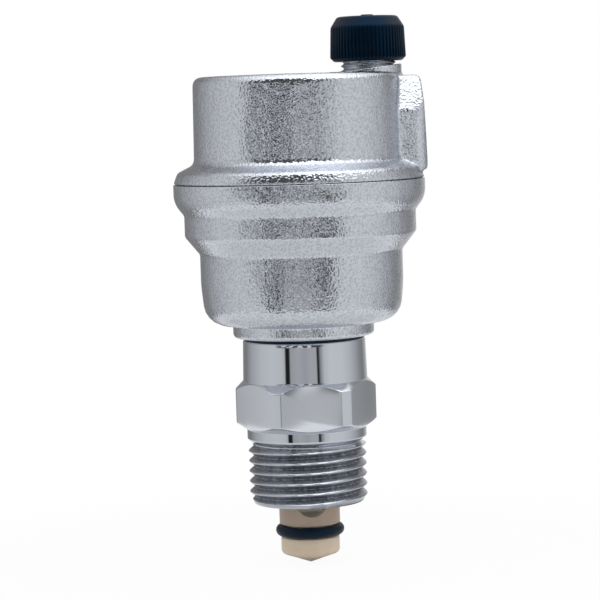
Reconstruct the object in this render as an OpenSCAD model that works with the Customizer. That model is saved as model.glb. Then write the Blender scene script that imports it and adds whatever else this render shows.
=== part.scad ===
// Air release valve: a float vent in a two-piece cast casing, screwed into a fitting that
// shuts itself when the vent is taken off. Millimetres, +Z up, +X towards the nozzle.
// The origin is on the axis, at the top of the inlet thread.

/* [Inlet fitting] */
// Outside diameter of the inlet thread
thread_d = 20.955; // [19:0.005:27]
// Length of the inlet thread
thread_len = 10.7; // [9.4:0.1:16]
// Height of the plain collar above the thread
collar_h = 2.6; // [1.2:0.1:4]
// Width of the hexagon across its flats
hex_af = 22.5; // [21:0.5:27]
// Height of the hexagon
hex_h = 8.6; // [6:0.1:12]
// Height of the round neck above the hexagon
neck_h = 7.25; // [5:0.05:10]
// Wall of the round neck around its socket
neck_wall = 2.62; // [1.6:0.01:4]
// Length of the bore that guides the shutter
guide_len = 6; // [4:0.1:8]

/* [Shutter] */
// Outside diameter of the shutter's tube
shutter_d = 10.8; // [9:0.1:12]
// Wall of the shutter's tube
shutter_wall = 1.5; // [1:0.1:2]
// Diameter of the port in the front of the shutter's tube
port_d = 6; // [4:0.1:7]
// Height of the shutter's head below its seal
head_h = 5.95; // [4.5:0.05:8]
// Section of the shutter's seal
shutter_seal_d = 2; // [1.6:0.1:2.4]
// Wire of the shutter's spring
shutter_wire = 0.9; // [0.6:0.1:1]
// Turns of the vent that open the shutter
opening_turns = 4; // [3:0.5:5]

/* [Vent neck] */
// Outside diameter of the vent's neck
vent_neck_d = 16.66; // [16:0.02:21]
// Length of the vent's neck
vent_neck_len = 11.3; // [9:0.1:13]
// Bore of the vent's neck
vent_bore_d = 11; // [8:0.1:12]
// Pitch of the thread on the vent's neck
neck_pitch = 1.337; // [1:0.001:1.4]
// Thickness of the gasket under the vent
neck_gasket_t = 0.5; // [0.2:0.05:1.5]

/* [Lower casing] */
// Height of the casing from its flange to its top
casing_h = 46.05; // [42:0.05:75]
// Diameter of the flange that meets the gasket
flange_d = 25; // [22.5:0.1:26]
// Thickness of the flange
flange_h = 2.35; // [1.8:0.05:4]
// Inside diameter of the float chamber
chamber_d = 31.4; // [30:0.1:44]
// Wall of the bowl
bowl_wall = 2.2; // [1.6:0.1:3.5]
// Height of the rib around the casing thread
rib_h = 3.7; // [2.5:0.1:6]
// Wall of the rib around the casing thread
rib_wall = 1.85; // [1.2:0.05:3]
// Height of the rim from the rib to the seam
rim_h = 5.5; // [5:0.1:9]
// Wall of the rim around the casing seal
rim_wall = 1.75; // [1.2:0.05:3]
// Section of the casing seal
casing_seal_d = 1.8; // [1.2:0.1:2.4]

/* [Upper casing] */
// Wall of the skirt that screws into the lower casing
skirt_wall = 2.8; // [2:0.1:4]
// Height of the upper casing above the seam
cover_h = 18.75; // [18.5:0.05:23]
// Wall of the upper casing
cover_wall = 2.7; // [1.8:0.1:3.5]
// Thickness of the top
top_wall = 2.8; // [2:0.1:4]
// Distance that the boss stands out from the round wall
boss_out = 3.5; // [3:0.1:6]
// Width of the boss
boss_w = 17; // [15:0.1:22]
// Width of the boss at its top
boss_top_w = 12.2; // [11.5:0.1:14]
// Wall at the outer end of the boss
boss_wall = 2; // [1.4:0.1:3]

/* [Nozzle and cap] */
// Outside diameter of the nozzle
nozzle_d = 9.73; // [9:0.01:12]
// Bore of the nozzle
nozzle_bore_d = 5; // [3.6:0.1:5.6]
// Height of the nozzle that shows below the cap
nozzle_gap = 1.95; // [1:0.05:4]
// Diameter of the cap at its lower edge
cap_d = 13.4; // [12.6:0.1:16]
// Height of the cap
cap_h = 7.9; // [6:0.1:12]
// Thickness of the cap's top
cap_top_t = 1.5; // [1:0.1:2.5]
// Number of grip ribs on the cap
cap_ribs = 60; // [24:2:72]
// Thickness of the cap's gasket
cap_gasket_t = 1; // [0.6:0.1:1.5]

/* [Float and lever] */
// Gap between the float and the chamber wall
float_gap = 1.7; // [1:0.1:3]
// Wall of the float
float_wall = 1.2; // [0.8:0.1:2]
// Rise of the float from its rests
float_travel = 4; // [3:0.1:4.5]
// Drop of the lever's pivot below the inside of the top
pivot_drop = 10.9; // [10.6:0.1:13]
// Diameter of the lever's pin
pin_d = 2; // [1.5:0.1:2.4]
// Thickness of the lever
lever_t = 1.6; // [1.2:0.1:2]
// Diameter of the valve stem
stem_d = 2; // [1.6:0.1:2.2]
// Diameter of the air hole in the seat
orifice_d = 1.8; // [1:0.1:2]
// Thickness of the bracket's plate
bracket_t = 1.2; // [1:0.1:1.6]
// Wire of the stem's spring
stem_wire = 0.4; // [0.3:0.05:0.5]

/* [Hidden] */
$fn = 96;

// Colours
chrome_colour = "#d3d5d9";
cast_colour = "#a9abb2";
cream_colour = "#c8b79a";
rubber_colour = "#14181e";
cap_colour = "#0b1420";
steel_colour = "#b7bbc0";
brass_colour = "#b8954d";
float_colour = "#e6e2d6";
lever_colour = "#d8d3c4";

// Clearances
press = 0.02; // pieces pushed together
touch = 0.05; // faces that come to rest on each other
screwed = 0.1; // threads, drawn as plain cylinders
slide = 0.2; // pieces that slide in a bore
clear = 0.3; // pieces that move past each other
cut = 1; // overshoot of a shape that cuts another

// Heights on the inlet fitting
edge = 0.5; // small turned chamfer
thread_end_z = -thread_len;
hex_z = collar_h;
neck_z = hex_z + hex_h;
neck_top_z = neck_z + neck_h;
flange_z = neck_top_z + neck_gasket_t;
neck_end_z = flange_z - vent_neck_len;
guide_top_z = thread_end_z + guide_len;

// Radii on the inlet fitting
thread_r = thread_d / 2;
thread_chamfer = 0.8;
collar_r = thread_r + 0.12;
relief = 0.9; // groove between the thread and the collar
vent_neck_r = vent_neck_d / 2;
socket_r = vent_neck_r + screwed;
socket_step = 0.9; // ledge where the socket meets the spring chamber
socket_gap = 0.8; // room under the end of the vent's neck
socket_end_z = neck_end_z - socket_gap;
neck_r = socket_r + neck_wall;
neck_taper = 0.2;
shutter_r = shutter_d / 2;
guide_r = shutter_r + slide;
spring_room_r = max(socket_r - socket_step, guide_r + shutter_wire + 2 * slide);
hex_corner_r = hex_af / 2 / cos(30);
hex_bar_r = hex_corner_r - 0.54; // round bar that the hexagon is cut from
hex_turn = -5.2; // turn of the hexagon about the axis
hex_top_chamfer = 1.4;
hex_top_r = hex_bar_r - 1.45;
hex_low_chamfer = 1.3;

// Shutter, held open by the end of the vent's neck
opening = opening_turns * neck_pitch;
seat_chamfer = 1.3;
seal_sink = 0.3; // middle of the seal's section inside the tube's surface
shutter_seal_r = shutter_r - seal_sink;
shut_seal_z = thread_end_z + seat_chamfer + guide_r - shutter_seal_r - shutter_seal_d / sqrt(2);
shutter_seal_z = shut_seal_z - opening - 2 * touch;
shutter_top_z = neck_end_z - touch;
shutter_flange_t = 1.5;
shutter_flange_r = min(spring_room_r, socket_r) - clear;
shutter_head_r = shutter_r - slide;
head_round = 0.5;
head_cone_h = 1.9;
head_slope = atan(head_cone_h / shutter_head_r);
port_lift = 0.9; // from the seal's groove up to the port
port_z = shutter_seal_z + shutter_seal_d + port_d / 2 + port_lift;
seal_groove_h = 1.2 * shutter_seal_d;

// Heights and radii shared by the casings
chamber_r = chamber_d / 2;
bowl_r = chamber_r + bowl_wall;
skirt_r = chamber_r + skirt_wall;
casing_bore_r = skirt_r + screwed;
rib_r = casing_bore_r + rib_wall;
flare_slope = 1.25; // rise of the flare for each millimetre outwards
flare_h = flare_slope * (rib_r - bowl_r);
cover_top_z = flange_z + casing_h;
seam_z = cover_top_z - cover_h;
rib_top_z = seam_z - rim_h;
rib_z = rib_top_z - rib_h;
flare_z = rib_z - flare_h;
bowl_z = flange_z + flange_h;
floor_z = bowl_z + bowl_wall;

// Lower casing
flange_r = flange_d / 2;
vent_bore_r = vent_bore_d / 2;
flange_round = 0.8;
bowl_draft = 0.7;
bowl_round = 3.8;
bowl_draft_share = 0.37; // part of the straight wall that leans in
bowl_draft_z = bowl_z + bowl_round + bowl_draft_share * (flare_z - bowl_z - bowl_round);
bowl_corner_r = bowl_r - bowl_draft - bowl_round;
bowl_corner_z = bowl_z + bowl_round;
casing_step = 0.9; // from the rib's lower edge up to the end of the casing thread
casing_thread_z = rib_z + casing_step;
seal_bore_r = casing_bore_r + casing_seal_d + touch;
seal_step_z = seam_z - casing_seal_d - slide;
rim_r = seal_bore_r + rim_wall;
rim_round = 2.5;
rim_slope = 38; // lean of the surface that runs from the rim to the rib
rim_straight = 2.3; // height of the rim above its rounding
rim_round_z = seam_z - rim_straight;
rest_h = 2.4;
rest_t = 1.5;
rest_inset = 1; // from the bore to the float's rests
rest_z = floor_z + rest_h;

// Upper casing
ceiling_z = cover_top_z - top_wall;
skirt_gap = 1.6; // room under the skirt
skirt_end_z = casing_thread_z + skirt_gap;
cover_r = chamber_r + cover_wall;
cover_draft = 0.2;
cover_round = 1.5;
shoulder_h = 3;
shoulder_z = seam_z + shoulder_h; // top of the sloping shoulder
shoulder_round = 1.3;
shoulder_corner = 0.7;
shoulder_drop = 0.75;
shoulder_inset = 0.65; // step in from the rim of the lower casing
shoulder_lean = 18; // lean of the shoulder's edge, in degrees
shoulder_slope = 15; // fall of the shoulder, in degrees
boss_reach = cover_r + boss_out;
boss_draft = 0.78;
boss_lift = 1.4; // from the seam up to the foot of the boss
boss_drop = 0.7; // from the top down to the top of the boss
boss_bend = 7; // from the top down to where the sides of the boss begin to lean in
boss_z = seam_z + boss_lift;
boss_top_z = cover_top_z - boss_drop;
boss_bend_z = cover_top_z - boss_bend;
boss_round = 2.3;
boss_edge = 0.9;
nozzle_r = nozzle_d / 2;
nozzle_inset = 8.8; // from the end of the boss to the nozzle's axis
nozzle_x = boss_reach - nozzle_inset;
pad_out = 1; // reach of the nozzle's pad past the nozzle
pad_r = nozzle_r + pad_out;
pad_low = 0.1 * nozzle_gap; // height of the pad on the side of the casing's axis
pad_high = 0.72 * nozzle_gap; // height of the pad on its outer side
pad_tilt = atan((pad_high - pad_low) / (2 * pad_r));
cap_z = cover_top_z + nozzle_gap;
cap_top_z = cap_z + cap_h;
cap_inner_z = cap_top_z - cap_top_t;
nozzle_top_z = cap_inner_z - cap_gasket_t - 2 * touch;

// Lever and what carries it
pocket_reach = boss_reach - boss_wall;
hub_wall = 0.8;
lever_hub_r = pin_d / 2 + hub_wall;
pivot_x = pocket_reach - edge - lever_hub_r;
pivot_z = ceiling_z - pivot_drop;
lever_tilt = float_travel / 2 / pivot_x * 180 / PI;
lever_hw = 2.9; // half width of the lever at its hub
tip_hw = 1.5; // half width of the lever at its tip
tip_reach = 1.8; // reach of the tip past the axis
tip_z = pivot_z - pivot_x * tan(lever_tilt);
cheek_gap = 0.2;
cheek_t = 1.2;
bracket_hw = lever_hw + cheek_gap + cheek_t + slide;
pocket_hw = bracket_hw + 2 * touch;
pocket_z = pivot_z - lever_hub_r - 3 * clear;
post_spacing = 7.2; // from the nozzle's axis to the bracket's screw
post_x = nozzle_x - post_spacing;
post_r = 3;
plate_tail = 2.6; // reach of the bracket's plate past its screw
plate_x = post_x - plate_tail;
plate_z = pivot_z + (pivot_x - plate_x) * tan(lever_tilt) + lever_t / 2 / cos(lever_tilt) + clear;
plate_top_z = plate_z + bracket_t;
screw_r = 1.5;
screw_len = 5.8;

// Seat and valve stem
seat_r = 2.98;
seat_h = 4.6;
lip_h = 0.6;
lip_wall = 0.7;
lip_r = orifice_d / 2 + lip_wall;
lip_z = ceiling_z - lip_h;
stem_r = stem_d / 2;
stem_travel = float_travel * (pivot_x - nozzle_x) / pivot_x;
stem_seal_r = 2.1;
stem_seal_t = 1;
stem_seal_top_z = lip_z - touch - stem_travel;
stem_seal_z = stem_seal_top_z - stem_seal_t;
cup_wall = 0.6;
stem_head_r = stem_seal_r + cup_wall;
stem_head_t = 1.2;
stem_head_z = stem_seal_z - stem_head_t;
clip_w = 1;
clip_r = stem_r + clip_w;
clip_t = 0.6;
clip_groove = 0.3;
clip_top_z = pivot_z - (pivot_x - nozzle_x + clip_r) * tan(lever_tilt)
    - lever_t / 2 / cos(lever_tilt) - touch;
stem_end_z = clip_top_z - 2 * clip_t;

// Float
float_r = chamber_r - float_gap;
float_z = rest_z + touch;
hook_reach = 4.3; // from the float's top to the middle of the lever's tip
float_top_z = tip_z - hook_reach;
float_lid_t = 1;
float_round = 2;
float_joint_z = float_top_z - float_lid_t;
window_play = 1; // room for the lever's tip in the float's window
window_hw = tip_hw + window_play / 2;
window_h = lever_t + window_play;
hook_wall = 1.5;
hook_hw = window_hw + hook_wall;
hook_t = 3;
hook_bridge = 1.4;

// Points along an arc from angle a0 to a1, in the plane of a profile
function arc(cx, cz, r, a0, a1, steps = 8) =
    [for (i = [0 : steps]) let (a = a0 + (a1 - a0) * i / steps) [cx + r * cos(a), cz + r * sin(a)]];

// Height of a coil's wire after a number of turns, with a closed turn at each end
function coil_rise(turn, turns, height, wire) =
    turn < 1 ? turn * wire
    : turn > turns - 1 ? height - (turns - turn) * wire
    : wire + (turn - 1) * (height - 2 * wire) / (turns - 2);

// Compression spring of round wire that stands from z0 to z1
module coil(mean_r, wire, z0, z1, turns) {
    sides = 8;
    turn_steps = 20;
    rings = turn_steps * turns;
    closed_pitch = 1.06 * wire;
    points = [for (i = [0 : rings]) for (j = [0 : sides - 1])
        let (a = 360 * i / turn_steps, b = 360 * j / sides, r = mean_r + wire / 2 * cos(b),
            z = z0 + wire / 2 + coil_rise(i / turn_steps, turns, z1 - z0 - wire, closed_pitch))
        [r * cos(a), r * sin(a), z + wire / 2 * sin(b)]];
    walls = [for (i = [0 : rings - 1]) for (j = [0 : sides - 1])
        let (k = (j + 1) % sides)
        [i * sides + j, i * sides + k, (i + 1) * sides + k, (i + 1) * sides + j]];
    first = [for (j = [sides - 1 : -1 : 0]) j];
    last = [for (j = [0 : sides - 1]) rings * sides + j];
    polyhedron(points, concat([first], walls, [last]), convexity = 8);
}

// Ring of round section about the axis
module ring(mean_r, section, z) {
    translate([0, 0, z])
        rotate_extrude()
            translate([mean_r, 0])
                circle(d = section, $fn = 32);
}

// Flat washer about the axis
module washer(outer_r, inner_r, z, t) {
    translate([0, 0, z])
        difference() {
            cylinder(r = outer_r, h = t);
            translate([0, 0, -cut])
                cylinder(r = inner_r, h = t + 2 * cut);
        }
}

// Straight bore about the axis, from z0 to z1
module bore(r, z0, z1) {
    translate([0, 0, z0])
        cylinder(r = r, h = z1 - z0);
}

// Outline in X and Z drawn out to both sides along Y
module along_y(width) {
    rotate([90, 0, 0])
        linear_extrude(width, center = true)
            children();
}

module shutoff_body() {
    color(chrome_colour)
        difference() {
            union() {
                rotate_extrude()
                    polygon([
                        [0, thread_end_z],
                        [thread_r - thread_chamfer, thread_end_z],
                        [thread_r, thread_end_z + thread_chamfer],
                        [thread_r, 0],
                        [collar_r - relief, 0],
                        [collar_r, relief],
                        [collar_r, neck_z],
                        [neck_r, neck_z],
                        [neck_r - neck_taper, neck_top_z - edge],
                        [neck_r - neck_taper - edge / 2, neck_top_z],
                        [0, neck_top_z]
                    ]);
                intersection() {
                    translate([0, 0, hex_z])
                        rotate(hex_turn)
                            cylinder(r = hex_corner_r, h = hex_h, $fn = 6);
                    rotate_extrude()
                        polygon([
                            [0, hex_z],
                            [collar_r, hex_z],
                            [hex_bar_r, hex_z + hex_low_chamfer],
                            [hex_bar_r, neck_z - hex_top_chamfer],
                            [hex_top_r, neck_z],
                            [0, neck_z]
                        ]);
                }
            }
            bore(guide_r, thread_end_z - cut, guide_top_z + cut);
            bore(spring_room_r, guide_top_z, socket_end_z + cut);
            bore(socket_r, socket_end_z, neck_top_z + cut);
            translate([0, 0, thread_end_z])
                cylinder(r1 = guide_r + seat_chamfer, r2 = guide_r, h = seat_chamfer);
        }
}

module shutter() {
    groove_r = shutter_seal_r - shutter_seal_d / 2;
    groove_z = shutter_seal_z - seal_groove_h / 2;
    tip_z = shutter_seal_z - head_h;
    turn_r = shutter_head_r - head_round;
    turn_z = tip_z + turn_r * tan(head_slope) + head_round / cos(head_slope);
    color(cream_colour)
        difference() {
            rotate_extrude()
                polygon(concat(
                    [[0, tip_z]],
                    arc(turn_r, turn_z, head_round, head_slope - 90, 0),
                    [
                        [shutter_head_r, groove_z],
                        [groove_r, groove_z],
                        [groove_r, groove_z + seal_groove_h],
                        [shutter_r, groove_z + seal_groove_h],
                        [shutter_r, shutter_top_z - shutter_flange_t],
                        [shutter_flange_r, shutter_top_z - shutter_flange_t],
                        [shutter_flange_r, shutter_top_z],
                        [0, shutter_top_z]
                    ]));
            bore(shutter_r - shutter_wall, port_z - port_d / 2 - edge, shutter_top_z + cut);
            translate([0, 0, port_z])
                rotate(hex_turn)
                    rotate([90, 0, 0])
                        cylinder(d = port_d, h = shutter_d);
        }
}

module shutter_seal() {
    color(rubber_colour)
        ring(shutter_seal_r, shutter_seal_d, shutter_seal_z);
}

module shutter_spring() {
    color(steel_colour)
        coil((shutter_r + spring_room_r) / 2, shutter_wire, guide_top_z,
            shutter_top_z - shutter_flange_t, 6);
}

module neck_gasket() {
    color(rubber_colour)
        washer(neck_r - neck_taper - slide, socket_r, neck_top_z, neck_gasket_t);
}

module lower_casing() {
    rim_turn_r = rim_r - rim_round;
    rest_len = bowl_corner_r - vent_bore_r - rest_inset - edge;
    color(cast_colour)
        union() {
            rotate_extrude()
                polygon(concat(
                    [
                        [vent_bore_r, neck_end_z],
                        [vent_neck_r - edge, neck_end_z],
                        [vent_neck_r, neck_end_z + edge],
                        [vent_neck_r, flange_z]
                    ],
                    arc(flange_r - flange_round, flange_z + flange_round, flange_round, -90, 0, 4),
                    [[flange_r, bowl_z]],
                    arc(bowl_corner_r, bowl_corner_z, bowl_round, -90, 0),
                    [
                        [bowl_r, bowl_draft_z],
                        [bowl_r, flare_z],
                        [rib_r, rib_z],
                        [rib_r, rib_top_z]
                    ],
                    arc(rim_turn_r, rim_round_z, rim_round, -rim_slope, 0),
                    [
                        [rim_r, seam_z],
                        [seal_bore_r, seam_z],
                        [seal_bore_r, seal_step_z],
                        [casing_bore_r, seal_step_z],
                        [casing_bore_r, casing_thread_z],
                        [chamber_r, casing_thread_z],
                        [chamber_r, bowl_draft_z]
                    ],
                    arc(bowl_corner_r, bowl_corner_z, bowl_round - bowl_wall, 0, -90),
                    [[vent_bore_r, floor_z]]));
            for (a = [45 : 90 : 315])
                rotate(a)
                    translate([vent_bore_r + rest_inset, -rest_t / 2, floor_z - edge])
                        cube([rest_len, rest_t, rest_h + edge]);
        }
}

// Round wall, shoulder and skirt of the upper casing, solid
module cover_round_form() {
    fillet_r = cover_r + shoulder_round;
    corner_r = rim_r - shoulder_inset - shoulder_corner;
    corner_z = shoulder_z - shoulder_drop - shoulder_corner;
    rotate_extrude()
        polygon(concat(
            [
                [0, skirt_end_z],
                [skirt_r - edge, skirt_end_z],
                [skirt_r, skirt_end_z + edge],
                [skirt_r, seam_z],
                [rim_r, seam_z]
            ],
            arc(corner_r, corner_z, shoulder_corner, shoulder_lean, 90 - shoulder_slope, 5),
            arc(fillet_r, shoulder_z + shoulder_round, shoulder_round, 270 - shoulder_slope, 180, 6),
            arc(cover_r - cover_draft - cover_round, cover_top_z - cover_round, cover_round, 0, 90),
            [[0, cover_top_z]]));
}

// Boss beside the round wall, solid: a drafted face, sides that lean in and rounded corners
module boss_form() {
    hw = boss_w / 2;
    intersection() {
        along_y(boss_w)
            polygon(concat(
                [[0, boss_z]],
                arc(boss_reach - boss_edge, boss_z + boss_edge, boss_edge, -90, 0, 4),
                arc(boss_reach - boss_draft - boss_edge, boss_top_z - boss_edge, boss_edge, 0, 90, 4),
                [[0, boss_top_z]]));
        rotate([90, 0, 90])
            linear_extrude(boss_reach + cut)
                polygon([
                    [-hw, boss_z], [hw, boss_z], [hw, boss_bend_z],
                    [boss_top_w / 2, boss_top_z], [-boss_top_w / 2, boss_top_z], [-hw, boss_bend_z]
                ]);
        translate([0, 0, boss_z])
            linear_extrude(boss_top_z - boss_z)
                polygon(concat(
                    [[0, -hw]],
                    arc(boss_reach - boss_round, -hw + boss_round, boss_round, -90, 0, 6),
                    arc(boss_reach - boss_round, hw - boss_round, boss_round, 0, 90, 6),
                    [[0, hw]]));
    }
}

// Nozzle with a chamfered top, on a low round pad whose top rises outwards, solid
module nozzle_form() {
    translate([nozzle_x, 0, 0]) {
        rotate_extrude()
            polygon([
                [0, ceiling_z],
                [nozzle_r, ceiling_z],
                [nozzle_r, nozzle_top_z - edge],
                [nozzle_r - edge, nozzle_top_z],
                [0, nozzle_top_z]
            ]);
        intersection() {
            translate([0, 0, ceiling_z])
                cylinder(r = pad_r, h = cap_z - ceiling_z);
            translate([0, 0, cover_top_z + (pad_low + pad_high) / 2])
                rotate([0, -pad_tilt, 0])
                    translate([0, 0, -2 * pad_r])
                        cylinder(r = 2 * pad_r, h = 2 * pad_r);
        }
    }
}

module upper_casing() {
    color(cast_colour)
        difference() {
            union() {
                difference() {
                    union() {
                        cover_round_form();
                        boss_form();
                        nozzle_form();
                    }
                    bore(chamber_r, skirt_end_z - cut, ceiling_z);
                    translate([0, -pocket_hw, pocket_z])
                        cube([pocket_reach, 2 * pocket_hw, ceiling_z - pocket_z]);
                }
                translate([post_x, 0, plate_top_z])
                    cylinder(r = post_r, h = ceiling_z - plate_top_z + edge);
            }
            translate([post_x, 0, plate_top_z - cut])
                cylinder(r = screw_r, h = screw_len + edge + cut);
            translate([nozzle_x, 0, ceiling_z - cut])
                cylinder(r = seat_r + press, h = seat_h + slide + cut);
            translate([nozzle_x, 0, ceiling_z])
                cylinder(d = nozzle_bore_d, h = nozzle_top_z - ceiling_z + cut);
        }
}

module casing_seal() {
    color(rubber_colour)
        ring(skirt_r + press + casing_seal_d / 2, casing_seal_d, seam_z - touch - casing_seal_d / 2);
}

module float_shell() {
    inner_r = float_r - float_wall;
    inner_round = max(float_round - float_wall, 0.1);
    color(float_colour)
        rotate_extrude()
            polygon(concat(
                [[0, float_z]],
                arc(float_r - float_round, float_z + float_round, float_round, -90, 0, 6),
                [[float_r, float_joint_z], [inner_r, float_joint_z]],
                arc(inner_r - inner_round, float_z + float_wall + inner_round, inner_round, 0, -90, 4),
                [[0, float_z + float_wall]]));
}

module float_lid() {
    spigot_r = float_r - float_wall - touch;
    spigot_h = 1;
    window_z = tip_z - window_h / 2;
    color(float_colour)
        difference() {
            union() {
                rotate_extrude()
                    polygon([
                        [0, float_joint_z - spigot_h],
                        [spigot_r, float_joint_z - spigot_h],
                        [spigot_r, float_joint_z],
                        [float_r, float_joint_z],
                        [float_r, float_top_z - edge],
                        [float_r - edge, float_top_z],
                        [0, float_top_z]
                    ]);
                translate([-hook_t / 2, -hook_hw, float_top_z - edge])
                    cube([hook_t, 2 * hook_hw, window_z + window_h + hook_bridge - float_top_z + edge]);
            }
            translate([-hook_t, -window_hw, window_z])
                cube([2 * hook_t, 2 * window_hw, window_h]);
        }
}

module lever() {
    stem_x = nozzle_x - pivot_x;
    slot_r = stem_r + clear;
    slot_wall = 1.8;
    taper = 2;
    wide_x = stem_x - slot_r - slot_wall;
    narrow_x = wide_x - taper;
    color(lever_colour)
        translate([pivot_x, 0, pivot_z])
            rotate([0, -lever_tilt, 0])
                difference() {
                    union() {
                        linear_extrude(lever_t, center = true)
                            polygon(concat(
                                [[0, -lever_hw], [0, lever_hw], [wide_x, lever_hw], [narrow_x, tip_hw]],
                                arc(tip_hw - pivot_x - tip_reach, 0, tip_hw, 90, 270),
                                [[narrow_x, -tip_hw], [wide_x, -lever_hw]]));
                        rotate([90, 0, 0])
                            cylinder(r = lever_hub_r, h = 2 * lever_hw, center = true);
                    }
                    rotate([90, 0, 0])
                        cylinder(r = pin_d / 2 + touch, h = 3 * lever_hw, center = true);
                    translate([stem_x, 0, 0])
                        cylinder(r = slot_r, h = 2 * lever_t, center = true);
                }
}

module lever_pin() {
    pin_hw = bracket_hw - slide;
    color(steel_colour)
        translate([pivot_x, pin_hw, pivot_z])
            rotate([90, 0, 0])
                rotate_extrude()
                    polygon([
                        [0, 0], [pin_d / 2 - slide, 0], [pin_d / 2, slide],
                        [pin_d / 2, 2 * pin_hw - slide], [pin_d / 2 - slide, 2 * pin_hw], [0, 2 * pin_hw]
                    ]);
}

module valve_bracket() {
    cheek_y = lever_hw + cheek_gap + cheek_t / 2;
    plate_end_x = pivot_x + lever_hub_r + 2 * touch;
    color(steel_colour)
        difference() {
            union() {
                translate([plate_x, -bracket_hw, plate_z])
                    cube([plate_end_x - plate_x, 2 * bracket_hw, bracket_t]);
                for (side = [-1, 1])
                    translate([pivot_x, side * cheek_y, 0]) {
                        translate([0, 0, pivot_z])
                            rotate([90, 0, 0])
                                cylinder(r = lever_hub_r, h = cheek_t, center = true);
                        translate([-lever_hub_r, -cheek_t / 2, pivot_z])
                            cube([2 * lever_hub_r, cheek_t, plate_z - pivot_z + bracket_t / 2]);
                    }
            }
            translate([pivot_x, 0, pivot_z])
                rotate([90, 0, 0])
                    cylinder(r = pin_d / 2 + press, h = 3 * bracket_hw, center = true);
            translate([nozzle_x, 0, plate_z - cut])
                cylinder(r = stem_r + slide, h = bracket_t + 2 * cut);
            translate([post_x, 0, plate_z - cut])
                cylinder(r = screw_r + touch, h = bracket_t + 2 * cut);
            translate([post_x, 0, plate_z])
                cylinder(r1 = screw_r + bracket_t + touch, r2 = screw_r + touch, h = bracket_t);
        }
}

module bracket_screw() {
    shank_r = screw_r - press;
    socket_af = 2;
    color(steel_colour)
        translate([post_x, 0, plate_z])
            difference() {
                rotate_extrude()
                    polygon([
                        [0, press],
                        [shank_r + bracket_t - press, press],
                        [shank_r, bracket_t],
                        [shank_r, bracket_t + screw_len - edge],
                        [shank_r - edge, bracket_t + screw_len],
                        [0, bracket_t + screw_len]
                    ]);
                translate([0, 0, -cut])
                    cylinder(d = socket_af / cos(30), h = cut + bracket_t, $fn = 6);
            }
}

module vent_seat() {
    outlet_r = lip_r;
    passage_z = seat_h / 3;
    color(brass_colour)
        translate([nozzle_x, 0, ceiling_z])
            rotate_extrude()
                polygon([
                    [orifice_d / 2, -lip_h],
                    [lip_r, -lip_h],
                    [lip_r, 0],
                    [seat_r, 0],
                    [seat_r, seat_h],
                    [outlet_r, seat_h],
                    [outlet_r, passage_z],
                    [orifice_d / 2, passage_z]
                ]);
}

module valve_stem() {
    groove_r = stem_r - clip_groove;
    cup_h = 0.6 * stem_seal_t;
    color(brass_colour)
        translate([nozzle_x, 0, 0])
            rotate_extrude()
                polygon([
                    [0, stem_end_z],
                    [stem_r - slide, stem_end_z],
                    [stem_r, stem_end_z + slide],
                    [stem_r, clip_top_z - clip_t - press],
                    [groove_r, clip_top_z - clip_t - press],
                    [groove_r, clip_top_z + press],
                    [stem_r, clip_top_z + press],
                    [stem_r, stem_head_z],
                    [stem_head_r, stem_head_z],
                    [stem_head_r, stem_seal_z + cup_h],
                    [stem_seal_r + press, stem_seal_z + cup_h],
                    [stem_seal_r + press, stem_seal_z],
                    [0, stem_seal_z]
                ]);
}

module stem_clip() {
    mouth_hw = 0.9 * (stem_r - clip_groove);
    color(steel_colour)
        translate([nozzle_x, 0, 0])
            difference() {
                washer(clip_r, stem_r - clip_groove + press, clip_top_z - clip_t, clip_t);
                translate([0, -mouth_hw, clip_top_z - 2 * clip_t])
                    cube([2 * clip_r, 2 * mouth_hw, 3 * clip_t]);
            }
}

module stem_seal() {
    color(rubber_colour)
        translate([nozzle_x, 0, stem_seal_z])
            cylinder(r = stem_seal_r, h = stem_seal_t);
}

module stem_spring() {
    spring_gap = 0.55;
    color(steel_colour)
        translate([nozzle_x, 0, 0])
            coil(stem_r + stem_wire / 2 + spring_gap, stem_wire, plate_top_z, stem_head_z, 5);
}

// Outline of the cap seen from above: trapezoid grip ribs around a round wall
module cap_outline() {
    rib_depth = 0.25;
    root_share = 0.36; // half widths of a rib, as shares of the step between ribs
    crest_share = 0.2;
    root_r = cap_d / 2 - rib_depth;
    step = 360 / cap_ribs;
    crest_r = cap_d / 2;
    rib = [[root_r, -root_share], [crest_r, -crest_share], [crest_r, crest_share], [root_r, root_share]];
    polygon([for (i = [0 : cap_ribs - 1]) for (p = rib)
        let (a = (i + p[1]) * step) [p[0] * cos(a), p[0] * sin(a)]]);
}

module vent_cap() {
    cap_r = cap_d / 2;
    cap_taper = 0.2;
    low_edge = 0.7;
    top_edge_r = 1.2;
    top_edge_h = 1.9;
    knob_r = 1.1;
    knob_h = 0.3;
    color(cap_colour)
        translate([nozzle_x, 0, 0])
            difference() {
                union() {
                    intersection() {
                        rotate_extrude()
                            polygon([
                                [0, cap_z],
                                [cap_r - low_edge, cap_z],
                                [cap_r, cap_z + low_edge],
                                [cap_r - cap_taper, cap_top_z - top_edge_h],
                                [cap_r - cap_taper - top_edge_r, cap_top_z],
                                [0, cap_top_z]
                            ]);
                        translate([0, 0, cap_z - cut])
                            linear_extrude(cap_h + 2 * cut)
                                cap_outline();
                    }
                    translate([0, 0, cap_top_z - knob_h])
                        cylinder(r = knob_r, h = 2 * knob_h);
                }
                bore(nozzle_r + screwed, cap_z - cut, cap_inner_z);
            }
}

module cap_gasket() {
    color(rubber_colour)
        translate([nozzle_x, 0, nozzle_top_z + touch])
            cylinder(r = nozzle_r - slide, h = cap_gasket_t);
}

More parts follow.
